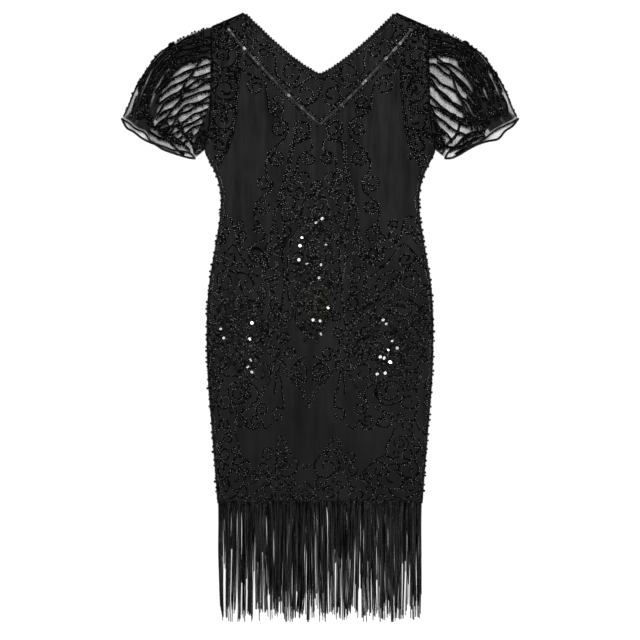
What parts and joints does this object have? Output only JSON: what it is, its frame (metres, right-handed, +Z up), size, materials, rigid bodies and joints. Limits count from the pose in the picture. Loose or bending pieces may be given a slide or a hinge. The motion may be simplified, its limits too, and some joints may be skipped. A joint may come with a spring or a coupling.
{
  "type": "flapper dress",
  "caption": "Knee-length beaded flapper dress laid flat, with V neck, sheer short puff sleeves, scrolling bead pattern and a long beaded fringe at the hem.",
  "frame": {"origin": "on the surface the dress lies on, under the middle of its outline", "axes": "+Y from the hem towards the neck, +Z up out of the front, +X towards the wearer's left side"},
  "size_m": [0.7356, 1.127, 0.0066],
  "materials": {
    "beaded_net": "matt near-black net backed with fine crepe, soft vertical creases",
    "sheer_net": "sheer black net with beaded lines",
    "jet_beads": "glossy black round beads, with small white glints",
    "bugle_beads": "silvery grey bugle beads and glossy black sequins"
  },
  "bodies": {
    "root": {"back_panel": "beaded_net", "front_panel": "beaded_net", "sleeve_left": "sheer_net", "sleeve_right": "sheer_net", "cuff_edging_left": "jet_beads", "cuff_edging_right": "jet_beads", "neck_edging_front": "jet_beads", "neck_edging_back": "jet_beads", "chevron_trim": "bugle_beads", "fringe_front": "jet_beads", "fringe_back": "jet_beads"}
  },
  "joints": []
}
